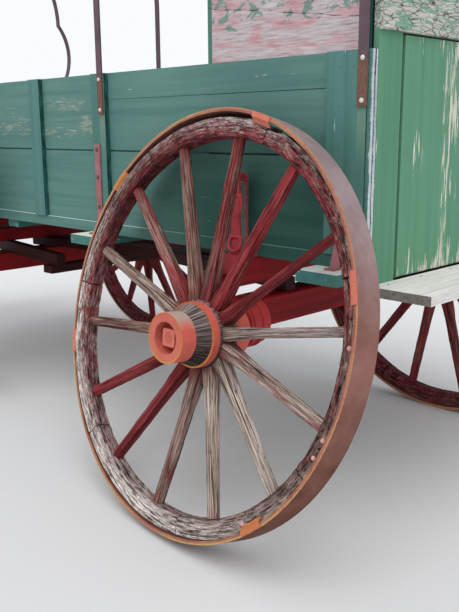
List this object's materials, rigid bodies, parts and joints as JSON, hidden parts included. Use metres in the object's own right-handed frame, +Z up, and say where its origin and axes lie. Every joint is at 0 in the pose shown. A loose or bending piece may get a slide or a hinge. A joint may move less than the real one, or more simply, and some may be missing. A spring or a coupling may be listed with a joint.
{
  "type": "covered wagon",
  "caption": "Horse-drawn wooden wagon with spoked wheels, a plank bed, bare cover bows, a chuck box at the tail and a tongue.",
  "frame": {"origin": "on the ground under the middle of the whole wagon with its tongue down", "axes": "+X to the wagon's rear, +Y to its right side, +Z up; the tongue points to -X"},
  "size_m": [6.438, 1.8759, 2.4],
  "materials": {
    "tyre_iron": "rusty wrought iron with worn red paint",
    "wheel_wood": "weathered oak with remains of red paint",
    "gear_wood": "red painted timber",
    "gear_iron": "red painted iron",
    "band_iron": "salmon painted iron",
    "bed_green": "blue-green painted boards",
    "rear_green": "peeling green painted boards",
    "bare_wood": "weathered bare boards",
    "chuck_wood": "worn red paint on boards",
    "bow_iron": "brown painted strip iron",
    "bare_iron": "rusty iron"
  },
  "bodies": {
    "wagon": {"rear_axle": "gear_wood", "rear_skeins": "gear_iron", "rear_hub_nuts": "band_iron", "bolsters": "gear_wood", "reach": "gear_wood", "rear_hounds": "gear_wood", "upper_rub_plate": "gear_iron", "king_pin": "bare_iron", "bolster_stakes": "bare_wood", "stake_straps": "gear_iron", "floor_boards": "bare_wood", "sills": "bed_green", "cross_planks": "bed_green", "side_boards": "bed_green", "side_cleats": "bed_green", "front_gate": "bed_green", "side_braces": "gear_iron", "cover_bows": "bow_iron", "chuck_box": "chuck_wood", "chuck_shelves": "bare_wood", "rear_frame": "rear_green", "rear_trims": "rear_green", "lid_pins": "bare_iron", "tail_shelf": "bare_wood"},
    "front_gear": {"front_axle": "gear_wood", "front_skeins": "gear_iron", "front_hub_nuts": "band_iron", "front_hounds": "gear_wood", "sand_board": "gear_wood", "lower_rub_plate": "gear_iron"},
    "tongue": {"tongue": "gear_wood", "tongue_pins": "bare_iron"},
    "doubletree": {"doubletree": "gear_wood", "singletree_pins": "bare_iron"},
    "left_singletree": {"left_singletree": "gear_wood"},
    "right_singletree": {"right_singletree": "gear_wood"},
    "chuck_lid": {"chuck_lid": "rear_green"},
    "rear_left_wheel": {"rear_left_tyre": "tyre_iron", "rear_left_felloes": "wheel_wood", "rear_left_spokes": "wheel_wood", "rear_left_hub": "wheel_wood", "rear_left_hub_bands": "band_iron"},
    "rear_right_wheel": {"rear_right_tyre": "tyre_iron", "rear_right_felloes": "wheel_wood", "rear_right_spokes": "wheel_wood", "rear_right_hub": "wheel_wood", "rear_right_hub_bands": "band_iron"},
    "front_left_wheel": {"front_left_tyre": "tyre_iron", "front_left_felloes": "wheel_wood", "front_left_spokes": "wheel_wood", "front_left_hub": "wheel_wood", "front_left_hub_bands": "band_iron"},
    "front_right_wheel": {"front_right_tyre": "tyre_iron", "front_right_felloes": "wheel_wood", "front_right_spokes": "wheel_wood", "front_right_hub": "wheel_wood", "front_right_hub_bands": "band_iron"}
  },
  "joints": [
    {"name": "rear_left_wheel_turn", "type": "hinge", "parent": "wagon", "child": "rear_left_wheel", "pos_m": [2.54902, -0.736, 0.61528], "axis": [0, -0.9954, 0.0958], "continuous": true},
    {"name": "rear_right_wheel_turn", "type": "hinge", "parent": "wagon", "child": "rear_right_wheel", "pos_m": [2.54902, 0.736, 0.66], "axis": [0, 1, 0], "continuous": true},
    {"name": "front_left_wheel_turn", "type": "hinge", "parent": "front_gear", "child": "front_left_wheel", "pos_m": [0.49902, -0.736, 0.56], "axis": [0, -1, 0], "continuous": true},
    {"name": "front_right_wheel_turn", "type": "hinge", "parent": "front_gear", "child": "front_right_wheel", "pos_m": [0.49902, 0.736, 0.56], "axis": [0, 1, 0], "continuous": true},
    {"name": "steering", "type": "hinge", "parent": "wagon", "child": "front_gear", "pos_m": [0.49902, 0, 0.66], "axis": [0, 0, 1], "range_deg": [-15, 15]},
    {"name": "tongue_lift", "type": "hinge", "parent": "front_gear", "child": "tongue", "pos_m": [-0.07098, 0, 0.638], "axis": [0, 1, 0], "range_deg": [0, 30]},
    {"name": "doubletree_swivel", "type": "hinge", "parent": "tongue", "child": "doubletree", "pos_m": [-0.54228, 0, 0.54701], "axis": [-0.1896, 0, 0.9819], "range_deg": [-15, 15]},
    {"name": "left_singletree_swivel", "type": "hinge", "parent": "doubletree", "child": "left_singletree", "pos_m": [-0.54228, -0.55, 0.54701], "axis": [-0.1896, 0, 0.9819], "range_deg": [-20, 20]},
    {"name": "right_singletree_swivel", "type": "hinge", "parent": "doubletree", "child": "right_singletree", "pos_m": [-0.54228, 0.55, 0.54701], "axis": [-0.1896, 0, 0.9819], "range_deg": [-20, 20]},
    {"name": "lid_swing", "type": "hinge", "parent": "wagon", "child": "chuck_lid", "pos_m": [3.00502, 0, 0.81], "axis": [0, 1, 0], "range_deg": [0, 90]}
  ]
}
